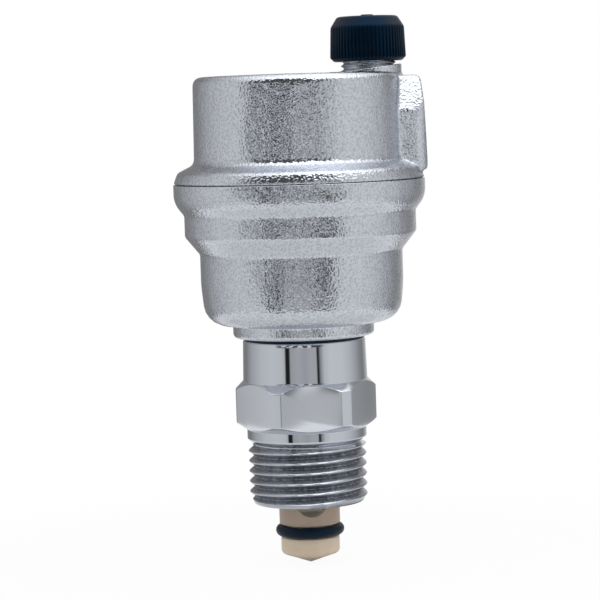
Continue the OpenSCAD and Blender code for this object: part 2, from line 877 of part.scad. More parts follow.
shutoff_body();
shutter();
shutter_seal();
shutter_spring();
neck_gasket();
lower_casing();
upper_casing();
casing_seal();
float_shell();
float_lid();
lever();
lever_pin();
valve_bracket();
bracket_screw();
vent_seat();
valve_stem();
stem_clip();
stem_seal();
stem_spring();
vent_cap();
cap_gasket();
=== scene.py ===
import math

import bmesh
import bpy
from mathutils import Matrix, Vector


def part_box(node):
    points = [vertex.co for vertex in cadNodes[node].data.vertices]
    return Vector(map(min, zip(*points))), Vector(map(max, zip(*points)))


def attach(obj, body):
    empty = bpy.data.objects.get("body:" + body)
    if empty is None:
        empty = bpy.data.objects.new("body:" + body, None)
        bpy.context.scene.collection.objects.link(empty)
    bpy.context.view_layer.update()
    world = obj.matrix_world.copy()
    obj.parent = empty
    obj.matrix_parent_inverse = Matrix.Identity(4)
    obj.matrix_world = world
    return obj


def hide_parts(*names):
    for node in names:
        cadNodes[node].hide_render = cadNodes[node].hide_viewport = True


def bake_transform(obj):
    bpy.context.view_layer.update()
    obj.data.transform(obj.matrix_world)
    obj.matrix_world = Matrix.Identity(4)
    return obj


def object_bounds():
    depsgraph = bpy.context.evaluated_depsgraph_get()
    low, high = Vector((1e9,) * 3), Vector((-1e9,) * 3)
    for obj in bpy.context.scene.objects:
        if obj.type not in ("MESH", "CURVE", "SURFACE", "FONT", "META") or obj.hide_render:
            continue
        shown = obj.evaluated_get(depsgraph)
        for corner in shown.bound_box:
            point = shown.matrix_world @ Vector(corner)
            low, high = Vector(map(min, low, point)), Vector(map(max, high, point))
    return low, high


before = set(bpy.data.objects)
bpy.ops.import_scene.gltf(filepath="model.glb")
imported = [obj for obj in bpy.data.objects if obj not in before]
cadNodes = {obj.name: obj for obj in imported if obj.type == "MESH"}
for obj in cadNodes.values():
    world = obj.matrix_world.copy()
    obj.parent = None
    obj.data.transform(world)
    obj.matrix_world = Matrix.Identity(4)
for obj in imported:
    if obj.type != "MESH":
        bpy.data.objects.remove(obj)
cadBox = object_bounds()
mm = 0.001
print("frame loaded:", len(cadNodes), "nodes")


# small helpers

def linearColour(hexColour):
    channels = [int(hexColour[at:at + 2], 16) / 255 for at in (1, 3, 5)]
    linear = [c / 12.92 if c <= 0.04045 else ((c + 0.055) / 1.055) ** 2.4 for c in channels]
    return (*linear, 1)


def addNode(tree, kind, settings=None, values=None, links=None):
    node = tree.nodes.new(kind)
    for name, value in (settings or {}).items():
        setattr(node, name, value)
    for socket, value in (values or {}).items():
        node.inputs[socket].default_value = value
    for socket, source in (links or {}).items():
        tree.links.new(source, node.inputs[socket])
    return node


def perMetre(sizeInMm):
    return 1 / (sizeInMm * mm)


def newMaterial(name, values):
    material = bpy.data.materials.new(name)
    material.use_nodes = True
    shader = material.node_tree.nodes["Principled BSDF"]
    for socket, value in values.items():
        shader.inputs[socket].default_value = value
    return material, material.node_tree, shader


# place, radius and height of a CAD node that is round about an upright axis, in mm
def sizeOf(node):
    low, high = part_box(node)
    return {
        "x": (low.x + high.x) / 2 / mm, "radius": (high.y - low.y) / 2 / mm,
        "low": low.z / mm, "high": high.z / mm, "middle": (low.z + high.z) / 2 / mm,
    }


# corners are (radius, height, rounding) in mm, in order around the section
def drawSection(bm, corners, closed=True, roundSteps=5):
    points = [bm.verts.new((radius * mm, 0, height * mm)) for radius, height, _ in corners]
    for point, following in zip(points, points[1:]):
        bm.edges.new((point, following))
    if closed:
        bm.edges.new((points[-1], points[0]))
    for point, (_, _, rounding) in zip(points, corners):
        if rounding:
            bmesh.ops.bevel(bm, geom=[point], offset=rounding * mm, segments=roundSteps, profile=0.5,
                            affect="VERTICES", material=-1)


# extra rows in the section, for a thread or so that a wall keeps its true shading beside a rounding
def splitRows(bm, low, high, rowHeight):
    slack = 0.001
    for edge in bm.edges[:]:
        heights = [vert.co.z / mm for vert in edge.verts]
        if min(heights) >= low - slack and max(heights) <= high + slack:
            rows = int(edge.calc_length() / mm / rowHeight)
            if rows > 1:
                bmesh.ops.subdivide_edges(bm, edges=[edge], cuts=rows - 1)


def spinSection(bm, steps):
    bmesh.ops.spin(bm, geom=bm.verts[:] + bm.edges[:], cent=(0, 0, 0), axis=(0, 0, 1), angle=math.tau,
                   steps=steps, use_merge=True)
    bmesh.ops.remove_doubles(bm, verts=bm.verts[:], dist=1e-7)
    bmesh.ops.recalc_face_normals(bm, faces=bm.faces[:])


# cuts away what lies beyond a plane, and gives the edges of the cut
def cutBeyond(bm, place, outwards):
    found = bmesh.ops.bisect_plane(bm, geom=bm.verts[:] + bm.edges[:] + bm.faces[:], dist=1e-7,
                                   plane_co=place, plane_no=outwards, clear_outer=True)
    return [part for part in found["geom_cut"] if isinstance(part, bmesh.types.BMEdge)]


# depth of a screw thread as a share, 0 on the crest and 1 at the root
def threadShare(height, angle, pitch, start, roundness):
    phase = (height / pitch - angle / math.tau + start) % 1
    ramp = abs(2 * phase - 1)
    wave = 0.5 - 0.5 * math.cos(math.pi * ramp)
    return (1 - roundness) * ramp + roundness * wave


def meshFrom(bm):
    mesh = bpy.data.meshes.new("form")
    bm.to_mesh(mesh)
    bm.free()
    return mesh


def mergedCopy(node):
    bm = bmesh.new()
    bm.from_mesh(cadNodes[node].data)
    bmesh.ops.remove_doubles(bm, verts=bm.verts[:], dist=1e-6)
    return bm


def addObject(name, mesh):
    made = bpy.data.objects.new(name, mesh)
    bpy.context.scene.collection.objects.link(made)
    return made


# mesh of an object with its modifiers, in place of the object
def finishedMesh(rough):
    mesh = bpy.data.meshes.new_from_object(rough.evaluated_get(bpy.context.evaluated_depsgraph_get()))
    bpy.data.objects.remove(rough)
    return mesh


def makePiece(name, mesh, material, body, replaced, sharpAngle=28):
    mesh.name = name
    mesh.shade_smooth()
    mesh.set_sharp_from_angle(angle=math.radians(sharpAngle))
    mesh.materials.clear()
    mesh.materials.append(material)
    piece = addObject(name, mesh)
    if body:
        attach(piece, body)
    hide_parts(replaced)
    print("piece", name, len(mesh.polygons), "faces")
    return piece


# materials

smoothStep = {"interpolation_type": "SMOOTHSTEP"}
colourMix = {"data_type": "RGBA"}


# distance from the valve's axis in a material
def axisReach(tree, parts):
    across = addNode(tree, "ShaderNodeCombineXYZ",
                     links={"X": parts.outputs["X"], "Y": parts.outputs["Y"]})
    length = addNode(tree, "ShaderNodeVectorMath", {"operation": "LENGTH"},
                     links={0: across.outputs["Vector"]})
    return length.outputs["Value"]


# surface whose tone and relief follow one grain, stretched where a tool or a mould has drawn it
def grained(name, tones, grain, depth, values, stretch=(1, 1, 1)):
    material, tree, shader = newMaterial(name, values)
    place = addNode(tree, "ShaderNodeTexCoord")
    drawn = addNode(tree, "ShaderNodeMapping", values={"Scale": stretch},
                    links={"Vector": place.outputs["Object"]})
    noise = addNode(tree, "ShaderNodeTexNoise", values={"Scale": perMetre(grain), "Detail": 3},
                    links={"Vector": drawn.outputs["Vector"]})
    tone = addNode(tree, "ShaderNodeMix", colourMix,
                   {"A": linearColour(tones[0]), "B": linearColour(tones[1])},
                   {"Factor": noise.outputs["Fac"]})
    relief = addNode(tree, "ShaderNodeBump", values={"Distance": depth * mm},
                     links={"Height": noise.outputs["Fac"]})
    tree.links.new(tone.outputs["Result"], shader.inputs["Base Color"])
    tree.links.new(relief.outputs["Normal"], shader.inputs["Normal"])
    return material, tree, shader, tone


# Nickel plate on a blasted casting: bright metal that its grit breaks into dark and light specks.
cast = {
    "pits": "#b3b7bf", "plain": "#c9cdd5", "pitsFrom": 0.3, "pitsTo": 0.6, "roughness": 0.13,
    "grit": 0.36, "gritDepth": 0.07, "swell": 3.4, "swellDepth": 0.12,
}


def makeCastNickel():
    material, tree, shader = newMaterial("blasted_nickel_plate", {
        "Metallic": 1, "Roughness": cast["roughness"]})
    place = addNode(tree, "ShaderNodeTexCoord")
    swell = addNode(tree, "ShaderNodeTexNoise", values={"Scale": perMetre(cast["swell"]), "Detail": 1},
                    links={"Vector": place.outputs["Object"]})
    grit = addNode(tree, "ShaderNodeTexNoise", values={"Scale": perMetre(cast["grit"]), "Detail": 0},
                   links={"Vector": place.outputs["Object"]})
    pits = addNode(tree, "ShaderNodeMapRange",
                   values={"From Min": cast["pitsFrom"], "From Max": cast["pitsTo"]},
                   links={"Value": grit.outputs["Fac"]})
    tone = addNode(tree, "ShaderNodeMix", colourMix,
                   {"A": linearColour(cast["pits"]), "B": linearColour(cast["plain"])},
                   {"Factor": pits.outputs["Result"]})
    wave = addNode(tree, "ShaderNodeBump", values={"Distance": cast["swellDepth"] * mm},
                   links={"Height": swell.outputs["Fac"]})
    relief = addNode(tree, "ShaderNodeBump", values={"Distance": cast["gritDepth"] * mm},
                     links={"Height": grit.outputs["Fac"], "Normal": wave.outputs["Normal"]})
    tree.links.new(tone.outputs["Result"], shader.inputs["Base Color"])
    tree.links.new(relief.outputs["Normal"], shader.inputs["Normal"])
    return material


castNickel = makeCastNickel()

# Chrome plate on turned brass: a mirror with faint turning rings, satin on the milled flats of the
# hexagon, rougher down in the thread, and darker there with a mottled painted shade.
plate = {
    # the two darkest tones are a painted shade for the thread's grooves
    "plain": "#c1c5cd", "milled": "#d4d8df", "grooveShade": "#a0a3ab", "shadeMottle": "#63666e",
    "mirror": 0.045, "satin": 0.14, "cut": 0.3, "grain": 0.5, "shadeMottleFrom": 0.35, "shadeMottleTo": 0.65,
    "rings": 0.16, "ringDepth": 0.0006, "ringStretch": 0.05,
    "flatReach": 12.42, "flatsMiddle": 6.9, "flatsHalf": 4.35,
}


def makeChrome():
    material, tree, shader = newMaterial("chrome_plate", {"Metallic": 1})
    place = addNode(tree, "ShaderNodeTexCoord")
    parts = addNode(tree, "ShaderNodeSeparateXYZ", links={"Vector": place.outputs["Object"]})
    inReach = addNode(tree, "ShaderNodeMath", {"operation": "LESS_THAN"}, {1: plate["flatReach"] * mm},
                      {0: axisReach(tree, parts)})
    inHeight = addNode(tree, "ShaderNodeMath", {"operation": "COMPARE"},
                       {1: plate["flatsMiddle"] * mm, 2: plate["flatsHalf"] * mm},
                       {0: parts.outputs["Z"]})
    onFlat = addNode(tree, "ShaderNodeMath", {"operation": "MULTIPLY"},
                     links={0: inReach.outputs[0], 1: inHeight.outputs[0]})
    groove = addNode(tree, "ShaderNodeAttribute", {"attribute_name": "groove"})
    milling = addNode(tree, "ShaderNodeMapRange",
                      values={"To Min": plate["mirror"], "To Max": plate["satin"]},
                      links={"Value": onFlat.outputs[0]})
    rough = addNode(tree, "ShaderNodeMapRange", values={"To Max": plate["cut"]},
                    links={"Value": groove.outputs["Fac"], "To Min": milling.outputs["Result"]})
    grain = addNode(tree, "ShaderNodeTexNoise", values={"Scale": perMetre(plate["grain"]), "Detail": 3},
                    links={"Vector": place.outputs["Object"]})
    # painted shade in the thread's grooves, mottled by the grain
    shadeMottle = addNode(tree, "ShaderNodeMapRange",
                   values={"From Min": plate["shadeMottleFrom"], "From Max": plate["shadeMottleTo"]},
                   links={"Value": grain.outputs["Fac"]})
    grooveShade = addNode(tree, "ShaderNodeMix", colourMix,
                   {"A": linearColour(plate["shadeMottle"]), "B": linearColour(plate["grooveShade"])},
                   {"Factor": shadeMottle.outputs["Result"]})
    milled = addNode(tree, "ShaderNodeMix", colourMix,
                     {"A": linearColour(plate["plain"]), "B": linearColour(plate["milled"])},
                     {"Factor": onFlat.outputs[0]})
    # the thread's grooves take the painted shade, more of it the deeper they go
    tone = addNode(tree, "ShaderNodeMix", colourMix, links={
        "Factor": groove.outputs["Fac"], "A": milled.outputs["Result"], "B": grooveShade.outputs["Result"]})
    stretch = (plate["ringStretch"], plate["ringStretch"], 1)
    drawn = addNode(tree, "ShaderNodeMapping", values={"Scale": stretch},
                    links={"Vector": place.outputs["Object"]})
    rings = addNode(tree, "ShaderNodeTexNoise", values={"Scale": perMetre(plate["rings"]), "Detail": 2},
                    links={"Vector": drawn.outputs["Vector"]})
    relief = addNode(tree, "ShaderNodeBump", values={"Distance": plate["ringDepth"] * mm},
                     links={"Height": rings.outputs["Fac"]})
    tree.links.new(tone.outputs["Result"], shader.inputs["Base Color"])
    tree.links.new(rough.outputs["Result"], shader.inputs["Roughness"])
    tree.links.new(relief.outputs["Normal"], shader.inputs["Normal"])
    return material


chrome = makeChrome()

# Moulded acetal: waxy cream with a little light going through. Above the seal the tube is darker with a
# painted shade, and pale inside it with a painted light.
waxy = {
    # a painted shade for the tube above the seal, and a painted light for the inside of its bore
    "pale": "#d9c5ae", "paler": "#e2d0ba", "tube": "#ae9a8a", "inside": "#fbf4ee",
    "bore": 4.7, "fade": 0.5, "grain": 1.1, "depth": 0.01,
    "shader": {"Roughness": 0.45, "Subsurface Weight": 0.8, "Subsurface Scale": 0.004,
               "Subsurface Radius": (1, 0.85, 0.7)},
}


def makeAcetal():
    material, tree, shader, tone = grained("moulded_acetal", (waxy["pale"], waxy["paler"]), waxy["grain"],
                                           waxy["depth"], waxy["shader"])
    sealHeight = sizeOf("shutter_seal")["middle"]
    place = addNode(tree, "ShaderNodeTexCoord")
    parts = addNode(tree, "ShaderNodeSeparateXYZ", links={"Vector": place.outputs["Object"]})
    # inside the bore the colour is a painted light; outside it, above the seal, a painted shade
    inBore = addNode(tree, "ShaderNodeMath", {"operation": "LESS_THAN"}, {1: waxy["bore"] * mm},
                     {0: axisReach(tree, parts)})
    tube = addNode(tree, "ShaderNodeMix", colourMix,
                   {"A": linearColour(waxy["tube"]), "B": linearColour(waxy["inside"])},
                   {"Factor": inBore.outputs[0]})
    above = addNode(tree, "ShaderNodeMapRange", smoothStep,
                    {"From Min": (sealHeight - waxy["fade"]) * mm,
                     "From Max": (sealHeight + waxy["fade"]) * mm},
                    {"Value": parts.outputs["Z"]})
    # above the seal the painted shade and painted light take the place of the grain's tone
    shadedAndLit = addNode(tree, "ShaderNodeMix", colourMix, links={
        "Factor": above.outputs["Result"], "A": tone.outputs["Result"], "B": tube.outputs["Result"]})
    tree.links.new(shadedAndLit.outputs["Result"], shader.inputs["Base Color"])
    return material


acetal = makeAcetal()

# Moulded rubber: dull navy black with the faint bloom of new rubber.
rubber, *_ = grained("moulded_rubber", ("#0c1722", "#15222f"), grain=0.5, depth=0.012, values={
    "Roughness": 0.42, "Specular IOR Level": 0.3, "Specular Tint": linearColour("#7fa6cc")})

# Moulded nylon: near black, with a deep blue sheen where it catches the light from above.
nylon, *_ = grained("moulded_nylon", ("#020a12", "#06121e"), grain=0.22, depth=0.012, values={
    "Roughness": 0.36, "Specular IOR Level": 0.4, "Specular Tint": linearColour("#3f86c8")})

# Drawn stainless steel: grey metal with fine streaks along the wire and the sheet.
steel, *_ = grained("drawn_steel", ("#a6a9ae", "#c3c6ca"), grain=0.3, depth=0.004,
                    values={"Metallic": 1, "Roughness": 0.26}, stretch=(1, 1, 0.1))

# Turned brass: warm metal with rings left by the tool.
brass, *_ = grained("turned_brass", ("#b8924c", "#cfac66"), grain=0.14, depth=0.003,
                    values={"Metallic": 1, "Roughness": 0.22}, stretch=(0.08, 0.08, 1))

# Moulded polypropylene: milky, with slow clouds in the tone.
floatPlastic, *_ = grained("moulded_polypropylene", ("#dcd7c9", "#ebe7dc"), grain=4, depth=0.01, values={
    "Roughness": 0.42, "Subsurface Weight": 0.15, "Subsurface Scale": 0.001})

# Glass-filled polyamide: pale, with short fibres that mottle the skin.
leverPlastic, *_ = grained("filled_polyamide", ("#cbc6b6", "#dcd8ca"), grain=0.35, depth=0.015,
                           values={"Roughness": 0.5}, stretch=(1, 0.3, 1))
print("materials made")

# chrome fitting: a turned body with a hexagon and a pipe thread, sizes in mm from the top of the thread
fitting = {
    "threadRadius": 10.4775, "threadPitch": 1.814, "threadDepth": 0.9, "threadStart": 0.7,
    "roundness": 0.5, "threadTop": -0.09, "endChamfer": 0.8, "endRound": 0.12, "runout": 0.5,
    "grooveRadius": 9.6, "grooveLow": -0.1, "grooveHigh": 0.05, "grooveRound": 0.1,
    "collarRadius": 10.6, "collarEdge": 0.9, "collarRound": 0.15,
    "hexLow": 2.6, "hexHigh": 11.2, "hexFlats": 22.5, "hexTurn": -5.2, "lowChamfer": 1.3,
    "topChamfer": 1.4, "barRadius": 12.45, "barRound": 0.12, "edge": 0.2, "flatArea": 10,
    "neckRadius": 11.05, "neckFoot": 0.1, "neckStep": 0.02, "neckTaper": 0.2, "neckRound": 0.35,
    "socketRadius": 8.43, "socketEnd": 6.85, "socketRound": 0.15, "springRadius": 7.53,
    "guideRadius": 5.6, "guideLength": 6, "seatChamfer": 1.3, "seatRound": 0.1,
    "rowsFrom": 0.3, "rowHeight": 0.08, "wallRow": 0.5, "steps": 192,
}


def cutThread(bm):
    groove = bm.verts.layers.float.new("groove")
    innermost = fitting["grooveRadius"] - fitting["seatChamfer"]
    for vert in bm.verts:
        height = vert.co.z / mm
        radius = vert.co.xy.length / mm
        if height < fitting["threadTop"] and radius > innermost:
            share = threadShare(height, math.atan2(vert.co.y, vert.co.x), fitting["threadPitch"],
                                fitting["threadStart"], fitting["roundness"])
            crest = fitting["threadRadius"] - fitting["threadDepth"] * share
            vert.co.xy *= min(crest, radius) / radius
            vert[groove] = share ** 0.5 if crest < radius else 0


def millHexagon(bm):
    for side in range(6):
        angle = math.radians(fitting["hexTurn"] + 30 + 60 * side)
        outwards = Vector((math.cos(angle), math.sin(angle), 0))
        rim = cutBeyond(bm, outwards * fitting["hexFlats"] / 2 * mm, outwards)
        flat = bmesh.ops.edgenet_fill(bm, edges=rim)["faces"]
        bmesh.ops.bevel(bm, geom=list({edge for face in flat for edge in face.edges}),
                        offset=fitting["edge"] * mm, segments=2, profile=0.5, affect="EDGES",
                        clamp_overlap=True, material=-1)


# starts each flat at its lower left corner, so that every run shades it in the same way
def orderFlats(bm):
    for face in [face for face in bm.faces if face.calc_area() > fitting["flatArea"] * mm * mm]:
        corners = face.verts[:]
        start = corners.index(min(corners, key=lambda vert: vert.co.x + vert.co.z))
        bm.faces.remove(face)
        bm.faces.new(corners[start:] + corners[:start])


def makeFitting():
    size = sizeOf("shutoff_body")
    end = size["low"]
    neckTop = size["high"]
    guideEnd = end + fitting["guideLength"]
    bm = bmesh.new()
    drawSection(bm, [
        (fitting["guideRadius"] + fitting["seatChamfer"], end, fitting["seatRound"]),
        (fitting["threadRadius"] - fitting["endChamfer"], end, fitting["endRound"]),
        (fitting["threadRadius"], end + fitting["endChamfer"], 0),
        (fitting["threadRadius"], -fitting["runout"], 0),
        (fitting["grooveRadius"], fitting["grooveLow"], 0),
        (fitting["grooveRadius"], fitting["grooveHigh"], fitting["grooveRound"]),
        (fitting["collarRadius"], fitting["collarEdge"], fitting["collarRound"]),
        (fitting["collarRadius"], fitting["hexLow"], 0),
        (fitting["barRadius"], fitting["hexLow"] + fitting["lowChamfer"], fitting["barRound"]),
        (fitting["barRadius"], fitting["hexHigh"] - fitting["topChamfer"], fitting["barRound"]),
        (fitting["neckRadius"], fitting["hexHigh"], 0),
        (fitting["neckRadius"] - fitting["neckStep"], fitting["hexHigh"] + fitting["neckFoot"], 0),
        (fitting["neckRadius"] - fitting["neckTaper"], neckTop, fitting["neckRound"]),
        (fitting["socketRadius"], neckTop, fitting["socketRound"]),
        (fitting["socketRadius"], fitting["socketEnd"], 0),
        (fitting["springRadius"], fitting["socketEnd"], 0),
        (fitting["springRadius"], guideEnd, 0),
        (fitting["guideRadius"], guideEnd, 0),
        (fitting["guideRadius"], end + fitting["seatChamfer"], 0),
    ])
    rowsLow = end + fitting["endChamfer"] * fitting["rowsFrom"]
    splitRows(bm, rowsLow, fitting["grooveLow"], fitting["rowHeight"])
    splitRows(bm, 0, neckTop, fitting["wallRow"])
    spinSection(bm, fitting["steps"])
    cutThread(bm)
    millHexagon(bm)
    bmesh.ops.recalc_face_normals(bm, faces=bm.faces[:])
    orderFlats(bm)
    makePiece("chrome_fitting", meshFrom(bm), chrome, "shutoff", "shutoff_body",
              sharpAngle=24)


makeFitting()

# shutter: a tube with a port in its front and a pointed head under its seal
shutter = {
    "tubeRadius": 5.4, "wall": 1.5, "flangeHeight": 1.5, "headInset": 0.2, "headRound": 0.5, "cone": 1.9,
    "grooveShare": 1.2, "sealSink": 0.3, "port": 6, "portLift": 0.9, "portTurn": -5.2, "portSides": 64,
    "floorDrop": 0.5, "edge": 0.12, "edgeAngle": 40, "wallRow": 0.5, "steps": 128,
}


def makeDrill(portHeight):
    radius = shutter["port"] / 2 * mm
    lift = Matrix.Translation((0, 0, portHeight * mm))
    turn = Matrix.Rotation(math.radians(shutter["portTurn"]), 4, "Z")
    lying = Matrix.Rotation(math.pi / 2, 4, "X")
    forwards = Matrix.Translation((0, 0, shutter["tubeRadius"] * mm))
    bm = bmesh.new()
    bmesh.ops.create_cone(bm, cap_ends=True, segments=shutter["portSides"], radius1=radius,
                          radius2=radius, depth=2 * shutter["tubeRadius"] * mm,
                          matrix=lift @ turn @ lying @ forwards)
    return addObject("drill", meshFrom(bm))


def makeShutter():
    size = sizeOf("shutter")
    seal = sizeOf("shutter_seal")
    section = seal["high"] - seal["low"]
    tubeRadius = shutter["tubeRadius"]
    boreRadius = tubeRadius - shutter["wall"]
    headRadius = tubeRadius - shutter["headInset"]
    grooveRadius = tubeRadius - shutter["sealSink"] - section / 2
    grooveHalf = shutter["grooveShare"] * section / 2
    flangeLow = size["high"] - shutter["flangeHeight"]
    portHeight = seal["middle"] + section + shutter["port"] / 2 + shutter["portLift"]
    boreFloor = portHeight - shutter["port"] / 2 - shutter["floorDrop"]
    bm = bmesh.new()
    drawSection(bm, [
        (0, size["low"], 0),
        (headRadius, size["low"] + shutter["cone"], shutter["headRound"]),
        (headRadius, seal["middle"] - grooveHalf, shutter["edge"]),
        (grooveRadius, seal["middle"] - grooveHalf, 0),
        (grooveRadius, seal["middle"] + grooveHalf, 0),
        (tubeRadius, seal["middle"] + grooveHalf, shutter["edge"]),
        (tubeRadius, flangeLow, 0),
        (size["radius"], flangeLow, shutter["edge"]),
        (size["radius"], size["high"], shutter["edge"]),
        (boreRadius, size["high"], shutter["edge"]),
        (boreRadius, boreFloor, shutter["headRound"]),
        (0, boreFloor, 0),
    ], closed=False)
    splitRows(bm, size["low"], size["high"], shutter["wallRow"])
    spinSection(bm, shutter["steps"])
    rough = addObject("rough_shutter", meshFrom(bm))
    drill = makeDrill(portHeight)
    hole = rough.modifiers.new("port", "BOOLEAN")
    hole.operation = "DIFFERENCE"
    hole.solver = "EXACT"
    hole.object = drill
    soften = rough.modifiers.new("edges", "BEVEL")
    soften.width = shutter["edge"] * mm
    soften.segments = 2
    soften.limit_method = "ANGLE"
    soften.angle_limit = math.radians(shutter["edgeAngle"])
    mesh = finishedMesh(rough)
    bpy.data.objects.remove(drill)
    makePiece("moulded_shutter", mesh, acetal, "shutter", "shutter")


makeShutter()

# rings of rubber: the shutter's seal, and the gasket that shows under the casing
rubberRing = {"sides": 32, "steps": 144, "gasketEdge": 0.12}


def makeShutterSeal():
    size = sizeOf("shutter_seal")
    section = (size["high"] - size["low"]) / 2
    place = Matrix.Translation(((size["radius"] - section) * mm, 0, size["middle"] * mm))
    bm = bmesh.new()
    bmesh.ops.create_circle(bm, segments=rubberRing["sides"], radius=section * mm,
                            matrix=place @ Matrix.Rotation(math.pi / 2, 4, "X"))
    spinSection(bm, rubberRing["steps"])
    makePiece("shutter_ring", meshFrom(bm), rubber, "shutter", "shutter_seal",
              sharpAngle=60)


def makeGasket():
    size = sizeOf("neck_gasket")
    bm = bmesh.new()
    drawSection(bm, [
        (fitting["socketRadius"], size["low"], 0),
        (size["radius"], size["low"], rubberRing["gasketEdge"]),
        (size["radius"], size["high"], rubberRing["gasketEdge"]),
        (fitting["socketRadius"], size["high"], 0),
    ])
    spinSection(bm, rubberRing["steps"])
    makePiece("neck_ring", meshFrom(bm), rubber, "vent", "neck_gasket", sharpAngle=60)


makeShutterSeal()
makeGasket()

# cast bowl, with a rib around its thread and a rim at the seam
bowl = {
    "boreRadius": 5.5, "neckRadius": 8.33, "flangeRadius": 12.5, "flangeHeight": 2.35,
    "flangeRound": 0.75, "footRadius": 17.2, "footRound": 3.4, "wallRadius": 17.9, "draftHeight": 7,
    "draftRound": 1, "flareHeight": 3.19, "ribRadius": 20.45, "ribHeight": 3.7, "rimHeight": 5.5,
    "rimRadius": 22.2, "rimDrop": 3.2, "rimRound": 1.3, "sealRadius": 20.45, "sealDrop": 2,
    "threadRadius": 18.6, "threadDrop": 8.3, "chamberRadius": 15.7, "floorHeight": 4.55,
    "floorRound": 1.6, "corner": 0.35, "seamEdge": 0.12, "wallRow": 0.6, "steps": 160,
}


def makeBowl():
    size = sizeOf("lower_casing")
    seam = size["high"]
    flange = sizeOf("neck_gasket")["high"]
    foot = flange + bowl["flangeHeight"]
    ribTop = seam - bowl["rimHeight"]
    ribLow = ribTop - bowl["ribHeight"]
    sealStep = seam - bowl["sealDrop"]
    threadEnd = seam - bowl["threadDrop"]
    chamberFloor = flange + bowl["floorHeight"]
    bm = bmesh.new()
    drawSection(bm, [
        (bowl["boreRadius"], size["low"], 0),
        (bowl["neckRadius"], size["low"], bowl["corner"]),
        (bowl["neckRadius"], flange, 0),
        (bowl["flangeRadius"], flange, bowl["flangeRound"]),
        (bowl["flangeRadius"], foot, bowl["corner"]),
        (bowl["footRadius"], foot, bowl["footRound"]),
        (bowl["wallRadius"], foot + bowl["draftHeight"], bowl["draftRound"]),
        (bowl["wallRadius"], ribLow - bowl["flareHeight"], bowl["corner"]),
        (bowl["ribRadius"], ribLow, bowl["corner"]),
        (bowl["ribRadius"], ribTop, bowl["corner"]),
        (bowl["rimRadius"], seam - bowl["rimDrop"], bowl["rimRound"]),
        (bowl["rimRadius"], seam, bowl["seamEdge"]),
        (bowl["sealRadius"], seam, 0),
        (bowl["sealRadius"], sealStep, 0),
        (bowl["threadRadius"], sealStep, 0),
        (bowl["threadRadius"], threadEnd, 0),
        (bowl["chamberRadius"], threadEnd, 0),
        (bowl["chamberRadius"], chamberFloor, bowl["floorRound"]),
        (bowl["boreRadius"], chamberFloor, 0),
    ])
    splitRows(bm, flange, seam, bowl["wallRow"])
    spinSection(bm, bowl["steps"])
    makePiece("cast_bowl", meshFrom(bm), castNickel, "vent", "lower_casing")


makeBowl()

# cast cover with its boss, softened as a casting is, and the screwed nozzle on its sloping pad
nozzle = {
    "radius": 4.865, "bore": 2.5, "wall": 1, "gap": 1.95, "sunk": 1.2, "chamfer": 0.5,
    "pitch": 0.907, "depth": 0.5, "padRadius": 5.865, "padLow": 0.195, "padHigh": 1.404,
    "padEdge": 0.18, "rowsEnd": 0.125, "rowHeight": 0.06, "steps": 96,
}
cover = {
    "top": sizeOf("vent_cap")["low"] - nozzle["gap"], "cutAbove": 0.02,
    "voxel": 0.33, "smoothing": 3, "softness": 0.5,
}


def makeCover():
    bm = mergedCopy("upper_casing")
    rim = cutBeyond(bm, (0, 0, (cover["top"] + cover["cutAbove"]) * mm), (0, 0, 1))
    bmesh.ops.bridge_loops(bm, edges=rim)
    bmesh.ops.recalc_face_normals(bm, faces=bm.faces[:])
    rough = addObject("rough_cover", meshFrom(bm))
    remesh = rough.modifiers.new("voxels", "REMESH")
    remesh.mode = "VOXEL"
    remesh.voxel_size = cover["voxel"] * mm
    smooth = rough.modifiers.new("soften", "SMOOTH")
    smooth.factor = cover["softness"]
    smooth.iterations = cover["smoothing"]
    makePiece("cast_cover", finishedMesh(rough), castNickel, "vent", "upper_casing",
              sharpAngle=60)


def moveToNozzle(bm):
    bmesh.ops.translate(bm, verts=bm.verts[:], vec=(sizeOf("vent_cap")["x"] * mm, 0, 0))


def makeNozzle():
    top = sizeOf("upper_casing")["high"]
    root = cover["top"] - nozzle["sunk"]
    bm = bmesh.new()
    drawSection(bm, [
        (nozzle["bore"], root, 0),
        (nozzle["radius"], root, 0),
        (nozzle["radius"], top - nozzle["chamfer"], 0),
        (nozzle["radius"] - nozzle["chamfer"], top, 0),
        (nozzle["bore"], top, 0),
    ])
    splitRows(bm, root, top - nozzle["rowsEnd"], nozzle["rowHeight"])
    spinSection(bm, nozzle["steps"])
    for vert in bm.verts:
        radius = vert.co.xy.length / mm
        if radius > nozzle["bore"] + nozzle["wall"]:
            angle = math.atan2(vert.co.y, vert.co.x)
            share = threadShare(vert.co.z / mm, angle, nozzle["pitch"], start=0, roundness=1)
            vert.co.xy *= min(nozzle["radius"] - nozzle["depth"] * share, radius) / radius
    moveToNozzle(bm)
    makePiece("nozzle_thread", meshFrom(bm), castNickel, "vent", "upper_casing",
              sharpAngle=45)


def makeNozzlePad():
    root = cover["top"] - nozzle["sunk"]
    middle = cover["top"] + (nozzle["padLow"] + nozzle["padHigh"]) / 2
    inside = nozzle["radius"] - nozzle["depth"]
    slope = (nozzle["padHigh"] - nozzle["padLow"]) / 2 / nozzle["padRadius"]
    bm = bmesh.new()
    drawSection(bm, [
        (inside, root, 0),
        (nozzle["padRadius"], root, 0),
        (nozzle["padRadius"], middle, nozzle["padEdge"]),
        (inside, middle, 0),
    ])
    spinSection(bm, nozzle["steps"])
    for vert in bm.verts:
        share = (vert.co.z / mm - root) / (middle - root)
        vert.co.z += vert.co.x * slope * share
    moveToNozzle(bm)
    makePiece("nozzle_pad", meshFrom(bm), castNickel, "vent", "upper_casing")


makeCover()
makeNozzle()
makeNozzlePad()

